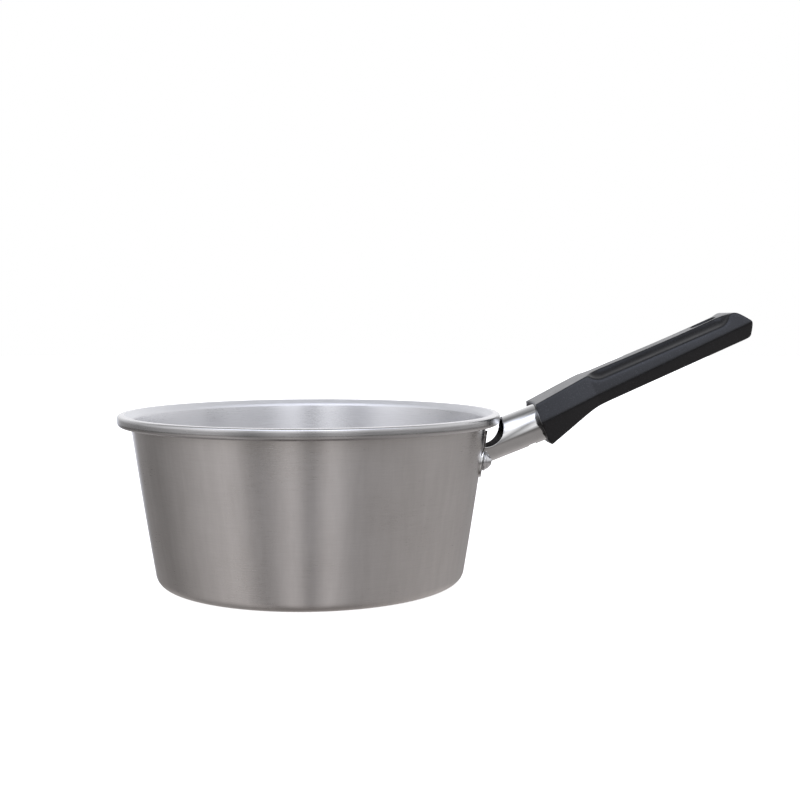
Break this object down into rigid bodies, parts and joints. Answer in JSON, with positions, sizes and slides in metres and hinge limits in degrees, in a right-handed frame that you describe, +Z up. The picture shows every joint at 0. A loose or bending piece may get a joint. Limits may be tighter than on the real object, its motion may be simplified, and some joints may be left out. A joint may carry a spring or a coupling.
{
  "type": "candle melting pot",
  "caption": "Single-handled aluminium saucepan for melting wax: tapered pressed pot with a rolled rim, riveted chromed ferrule and a faceted dark grip with a hanging slot.",
  "frame": {"origin": "middle of the pot's flat underside, on the surface it stands on", "axes": "+X towards the handle, +Z up along the pot's axis, the handle lies in the XZ plane"},
  "size_m": [0.3352, 0.2, 0.141],
  "materials": {
    "pot_aluminium": "satin",
    "ferrule_chrome": "polished",
    "tang_steel": "satin",
    "rivet_aluminium": "gloss",
    "grip_phenolic": "satin",
    "screw_steel": "satin"
  },
  "bodies": {
    "root": {"pot_body": "pot_aluminium", "ferrule_bracket": "ferrule_chrome", "grip_tang": "tang_steel", "rivet_front": "rivet_aluminium", "rivet_rear": "rivet_aluminium", "handle_grip": "grip_phenolic", "grip_screw": "screw_steel", "screw_washer": "screw_steel"}
  },
  "joints": []
}
